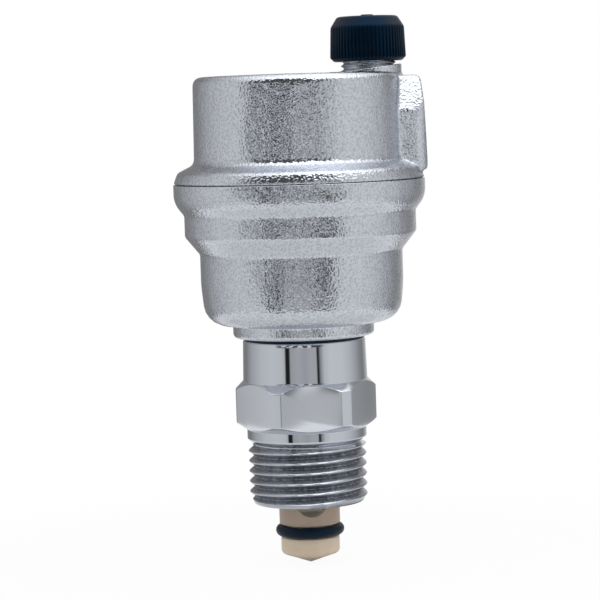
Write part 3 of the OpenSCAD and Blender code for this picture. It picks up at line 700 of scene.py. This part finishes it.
# ribbed cap
cap = {
    "taper": 0.2, "lowEdge": 0.7, "topIn": 1.2, "topDrop": 1.9, "knobRadius": 1.1, "knobHeight": 0.3,
    "bore": 4.965, "topThickness": 1.5, "boreRound": 0.15, "footRound": 0.2, "skirtRound": 0.15,
    "shoulderRound": 0.3, "topRound": 0.4, "knobFoot": 0.08, "knobRound": 0.12,
    "ribs": 60, "ribSteps": 8, "ribDepth": 0.3, "ribFlat": 0.35, "ribFlank": 0.4, "rowHeight": 0.25,
}


def makeCap():
    size = sizeOf("vent_cap")
    low = size["low"]
    high = size["high"] - cap["knobHeight"]
    radius = size["radius"]
    shoulderRadius = radius - cap["taper"]
    bm = bmesh.new()
    drawSection(bm, [
        (0, high - cap["topThickness"], 0),
        (cap["bore"], high - cap["topThickness"], 0),
        (cap["bore"], low, cap["boreRound"]),
        (radius - cap["lowEdge"], low, cap["footRound"]),
        (radius, low + cap["lowEdge"], cap["skirtRound"]),
        (shoulderRadius, high - cap["topDrop"], cap["shoulderRound"]),
        (shoulderRadius - cap["topIn"], high, cap["topRound"]),
        (cap["knobRadius"], high, cap["knobFoot"]),
        (cap["knobRadius"], high + cap["knobHeight"], cap["knobRound"]),
        (0, high + cap["knobHeight"], 0),
    ], closed=False)
    splitRows(bm, low, high, cap["rowHeight"])
    spinSection(bm, cap["ribs"] * cap["ribSteps"])
    for vert in bm.verts:
        reach = vert.co.xy.length / mm
        if reach > cap["bore"] + cap["ribDepth"]:
            phase = math.atan2(vert.co.y, vert.co.x) / math.tau * cap["ribs"] % 1
            valley = min(1, max(0, (abs(2 * phase - 1) - cap["ribFlat"]) / cap["ribFlank"]))
            vert.co.xy *= min(radius - cap["ribDepth"] * valley, reach) / reach
    moveToNozzle(bm)
    makePiece("ribbed_cap", meshFrom(bm), nylon, "cap", "vent_cap", sharpAngle=35)


makeCap()

# springs, made from their CAD nodes; the table gives the body at their foot and the body at their head
springs = {
    "shutter_coil": {"node": "shutter_spring", "foot": "shutoff", "head": "shutter"},
    "stem_coil": {"node": "stem_spring", "foot": "vent", "head": "stem"},
}


def makeSprings():
    for name, spring in springs.items():
        mesh = meshFrom(mergedCopy(spring["node"]))
        coil = makePiece(name, mesh, steel, None, spring["node"], sharpAngle=60)
        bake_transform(coil)


makeSprings()

# carried-over CAD nodes
finishes = {
    rubber: ["casing_seal", "stem_seal", "cap_gasket"],
    steel: ["stem_clip", "lever_pin", "bracket_screw", "valve_bracket"],
    brass: ["vent_seat", "valve_stem"],
    floatPlastic: ["float_shell", "float_lid"],
    leverPlastic: ["lever"],
}
for material, names in finishes.items():
    for name in names:
        cadNodes[name].material_slots[0].material = material
print("CAD nodes finished")

# studio: a close light tent with pale sides and dim corners behind. Low down its front is grey between
# two dark gaps, and higher up the front is a clutter of dark and pale patches. A soft light hangs over it.
tent = {
    "azimuth": -10, "radius": 110, "height": 160, "corner": 20, "middle": 45, "steps": 96,
    "bands": [  # degrees to the right of the camera, brightness
        (-180, 0.28), (-135, 0.38), (-112, 0.56), (-85, 0.77), (-60, 0.84), (-42, 0.8), (-36, 0.7),
        (-34, 0.02), (-27.5, 0.02), (-25.5, 0.52), (-12, 0.6), (0, 0.53), (10, 0.6), (20.5, 0.6),
        (21.5, 0.02), (24, 0.02), (27, 0.36), (34, 0.76), (45, 0.88), (70, 0.86), (88, 0.73),
        (102, 0.57), (118, 0.37), (130, 0.29), (180, 0.28),
    ],
    "angles": {  # degrees, to the right of the camera or up from the middle of the casing
        "frontAside": -10, "frontFrom": 32, "frontTo": 50, "frontLow": -16, "frontHigh": -12,
        "shadeLow": 14, "shadeHigh": 19, "roofLow": 32, "roofHigh": 40, "roofRaise": 10,
        "raiseFrom": 16, "raiseTo": 38, "softUp": 60, "softAside": 28,
    },
    "patch": 16, "patchFrom": 0.4, "patchTo": 0.6, "patchDark": 0.09, "patchPale": 0.9, "shade": 0.2,
    "roofDim": 0.5, "roofPeak": 2.35, "softFocus": 2.2, "diffuseGain": 0.45,
}
floorGap = 0.05
floorHeight = cadBox[0].z / mm - floorGap


def fillBands(ramp):
    ends = {0: ramp.elements[0], 1: ramp.elements[1]}
    for degrees, level in tent["bands"]:
        position = degrees / 360 + 0.5
        element = ends.get(position) or ramp.elements.new(position)
        element.color = (level, level, level, 1)


def makeCloth():
    cloth = bpy.data.materials.new("lit_tent_cloth")
    cloth.use_nodes = True
    tree = cloth.node_tree
    tree.nodes.clear()
    turn = {name: math.radians(degrees) for name, degrees in tent["angles"].items()}

    # direction of a place on the cloth, from the middle of the casing
    place = addNode(tree, "ShaderNodeTexCoord")
    turned = addNode(tree, "ShaderNodeVectorRotate", {"rotation_type": "Z_AXIS"},
                     {"Angle": math.radians(-tent["azimuth"])}, {"Vector": place.outputs["Object"]})
    lowered = addNode(tree, "ShaderNodeVectorMath", {"operation": "SUBTRACT"},
                      {1: (0, 0, tent["middle"] * mm)}, {0: turned.outputs["Vector"]})
    outwards = addNode(tree, "ShaderNodeVectorMath", {"operation": "NORMALIZE"},
                       links={0: lowered.outputs["Vector"]})
    parts = addNode(tree, "ShaderNodeSeparateXYZ", links={"Vector": outwards.outputs["Vector"]})
    front = addNode(tree, "ShaderNodeMath", {"operation": "MULTIPLY"}, {1: -1}, {0: parts.outputs["Y"]})
    angle = addNode(tree, "ShaderNodeMath", {"operation": "ARCTAN2"},
                    links={0: parts.outputs["X"], 1: front.outputs[0]})
    upwards = addNode(tree, "ShaderNodeMath", {"operation": "ARCSINE"}, links={0: parts.outputs["Z"]})
    centred = addNode(tree, "ShaderNodeMath", {"operation": "SUBTRACT"}, {1: turn["frontAside"]},
                      {0: angle.outputs[0]})
    aside = addNode(tree, "ShaderNodeMath", {"operation": "ABSOLUTE"}, links={0: centred.outputs[0]})

    # upright bands around the object
    share = addNode(tree, "ShaderNodeMapRange", values={"From Min": -math.pi, "From Max": math.pi},
                    links={"Value": angle.outputs[0]})
    bands = addNode(tree, "ShaderNodeValToRGB", links={"Fac": share.outputs["Result"]})
    fillBands(bands.color_ramp)

    # patches around the lens, shaded under the roof
    inFront = addNode(tree, "ShaderNodeMapRange", smoothStep,
                      {"From Min": turn["frontFrom"], "From Max": turn["frontTo"],
                       "To Min": 1, "To Max": 0},
                      {"Value": aside.outputs[0]})
    above = addNode(tree, "ShaderNodeMapRange", smoothStep,
                    {"From Min": turn["frontLow"], "From Max": turn["frontHigh"]},
                    {"Value": upwards.outputs[0]})
    byLens = addNode(tree, "ShaderNodeMath", {"operation": "MULTIPLY"},
                     links={0: inFront.outputs["Result"], 1: above.outputs["Result"]})
    clutter = addNode(tree, "ShaderNodeTexNoise", values={"Scale": perMetre(tent["patch"]), "Detail": 0},
                      links={"Vector": place.outputs["Object"]})
    patches = addNode(tree, "ShaderNodeMapRange", smoothStep,
                      {"From Min": tent["patchFrom"], "From Max": tent["patchTo"],
                       "To Min": tent["patchDark"], "To Max": tent["patchPale"]},
                      {"Value": clutter.outputs["Fac"]})
    shade = addNode(tree, "ShaderNodeMapRange", smoothStep,
                    {"From Min": turn["shadeLow"], "From Max": turn["shadeHigh"],
                     "To Min": 1, "To Max": tent["shade"]},
                    {"Value": upwards.outputs[0]})
    around = addNode(tree, "ShaderNodeMath", {"operation": "MULTIPLY"},
                     links={0: patches.outputs["Result"], 1: shade.outputs["Result"]})
    wall = addNode(tree, "ShaderNodeMix", colourMix, links={
        "Factor": byLens.outputs[0], "A": bands.outputs["Color"], "B": around.outputs[0]})

    # roof with the soft light, whose edge is higher over the front
    leaning = Matrix.Rotation(turn["softAside"], 3, "Z") @ Matrix.Rotation(-turn["softUp"], 3, "X")
    near = addNode(tree, "ShaderNodeVectorMath", {"operation": "DOT_PRODUCT"},
                   {1: leaning @ Vector((0, -1, 0))}, {0: outwards.outputs["Vector"]})
    positive = addNode(tree, "ShaderNodeMath", {"operation": "MAXIMUM"}, {1: 0},
                       {0: near.outputs["Value"]})
    spread = addNode(tree, "ShaderNodeMath", {"operation": "POWER"}, {1: tent["softFocus"]},
                     {0: positive.outputs[0]})
    overhead = addNode(tree, "ShaderNodeMapRange",
                       values={"To Min": tent["roofDim"], "To Max": tent["roofPeak"]},
                       links={"Value": spread.outputs[0]})
    raised = addNode(tree, "ShaderNodeMapRange", smoothStep,
                     {"From Min": turn["raiseFrom"], "From Max": turn["raiseTo"],
                      "To Min": turn["roofRaise"], "To Max": 0},
                     {"Value": aside.outputs[0]})
    fromRoof = addNode(tree, "ShaderNodeMath", {"operation": "SUBTRACT"},
                       links={0: upwards.outputs[0], 1: raised.outputs["Result"]})
    lift = addNode(tree, "ShaderNodeMapRange", smoothStep,
                   {"From Min": turn["roofLow"], "From Max": turn["roofHigh"]},
                   {"Value": fromRoof.outputs[0]})
    level = addNode(tree, "ShaderNodeMix", colourMix, links={
        "Factor": lift.outputs["Result"], "A": wall.outputs["Result"], "B": overhead.outputs["Result"]})

    # matt surfaces get a little more than mirrors show
    rays = addNode(tree, "ShaderNodeLightPath")
    strength = addNode(tree, "ShaderNodeMath", {"operation": "MULTIPLY_ADD"},
                       {1: tent["diffuseGain"], 2: 1}, {0: rays.outputs["Is Diffuse Ray"]})
    glow = addNode(tree, "ShaderNodeEmission",
                   links={"Color": level.outputs["Result"], "Strength": strength.outputs[0]})
    addNode(tree, "ShaderNodeOutputMaterial", links={"Surface": glow.outputs["Emission"]})
    return cloth


def makeTent():
    bm = bmesh.new()
    drawSection(bm, [
        (tent["radius"], floorHeight, 0),
        (tent["radius"], tent["height"], tent["corner"]),
        (0, tent["height"], 0),
    ], closed=False)
    spinSection(bm, tent["steps"])
    made = addObject("light_tent", meshFrom(bm))
    made.data.materials.append(makeCloth())
    made.visible_camera = False


# white paper: it holds a soft shadow near the object and is plain white farther out
sheet = {
    "tone": "#e2e2e2", "radius": 4000, "near": 50, "far": 105, "nearSeen": 0.95, "nearMirrored": 0.4,
}


def makePaper():
    paper = bpy.data.materials.new("pale_paper_floor")
    paper.use_nodes = True
    tree = paper.node_tree
    tree.nodes.clear()
    place = addNode(tree, "ShaderNodeTexCoord")
    reach = addNode(tree, "ShaderNodeVectorMath", {"operation": "LENGTH"},
                    links={0: place.outputs["Object"]})
    farther = addNode(tree, "ShaderNodeMapRange", smoothStep,
                      {"From Min": sheet["near"] * mm, "From Max": sheet["far"] * mm},
                      {"Value": reach.outputs["Value"]})
    rays = addNode(tree, "ShaderNodeLightPath")
    mirrored = addNode(tree, "ShaderNodeMath", {"operation": "MAXIMUM"},
                       links={0: rays.outputs["Is Glossy Ray"], 1: rays.outputs["Is Transmission Ray"]})
    whiteness = []
    for ray, nearShare in ((rays.outputs["Is Camera Ray"], sheet["nearSeen"]),
                           (mirrored.outputs[0], sheet["nearMirrored"])):
        grown = addNode(tree, "ShaderNodeMapRange", values={"To Min": nearShare, "To Max": 1},
                        links={"Value": farther.outputs["Result"]})
        seen = addNode(tree, "ShaderNodeMath", {"operation": "MULTIPLY"},
                       links={0: ray, 1: grown.outputs["Result"]})
        whiteness.append(seen.outputs[0])
    white = addNode(tree, "ShaderNodeMath", {"operation": "MAXIMUM"}, links=dict(enumerate(whiteness)))
    matt = addNode(tree, "ShaderNodeBsdfDiffuse", values={"Color": linearColour(sheet["tone"])})
    glow = addNode(tree, "ShaderNodeEmission", values={"Color": (1, 1, 1, 1)})
    mixed = addNode(tree, "ShaderNodeMixShader",
                    links={0: white.outputs[0], 1: matt.outputs["BSDF"], 2: glow.outputs["Emission"]})
    addNode(tree, "ShaderNodeOutputMaterial", links={"Surface": mixed.outputs["Shader"]})
    return paper


def makeFloor():
    bm = bmesh.new()
    bmesh.ops.create_circle(bm, cap_ends=True, radius=sheet["radius"] * mm, segments=tent["steps"],
                            matrix=Matrix.Translation((0, 0, floorHeight * mm)))
    made = addObject("floor", meshFrom(bm))
    made.data.materials.append(makePaper())


makeTent()
makeFloor()

# white beyond the tent
world = bpy.data.worlds.new("white_surround")
bpy.context.scene.world = world
world.use_nodes = True
world.node_tree.nodes["Background"].inputs["Color"].default_value = (1, 1, 1, 1)
print("studio set")

# camera at the photograph's place: the valve leans a little to the left in the picture
shot = {
    "azimuth": -10, "distance": 430, "height": 59.5, "aim": 25.2, "aimAside": -0.5, "roll": 1.85,
    "sensor": 36, "focalPixels": 2435, "pixels": 600, "clipNear": 10, "clipFar": 20000,
}


def makeCamera():
    camera = addObject("camera", bpy.data.cameras.new("camera"))
    bpy.context.scene.camera = camera
    camera.data.sensor_width = shot["sensor"]
    camera.data.lens = shot["sensor"] * shot["focalPixels"] / shot["pixels"]
    camera.data.clip_start = shot["clipNear"] * mm
    camera.data.clip_end = shot["clipFar"] * mm
    turn = math.radians(shot["azimuth"])
    towards = Vector((math.sin(turn), -math.cos(turn), 0))
    aside = Vector((math.cos(turn), math.sin(turn), 0))
    place = (towards * shot["distance"] + Vector((0, 0, shot["height"]))) * mm
    target = (aside * shot["aimAside"] + Vector((0, 0, shot["aim"]))) * mm
    look = (target - place).to_track_quat("-Z", "Y").to_matrix().to_4x4()
    roll = Matrix.Rotation(math.radians(-shot["roll"]), 4, "Z")
    camera.matrix_world = Matrix.Translation(place) @ look @ roll


makeCamera()
bpy.context.scene.view_settings.view_transform = "Standard"
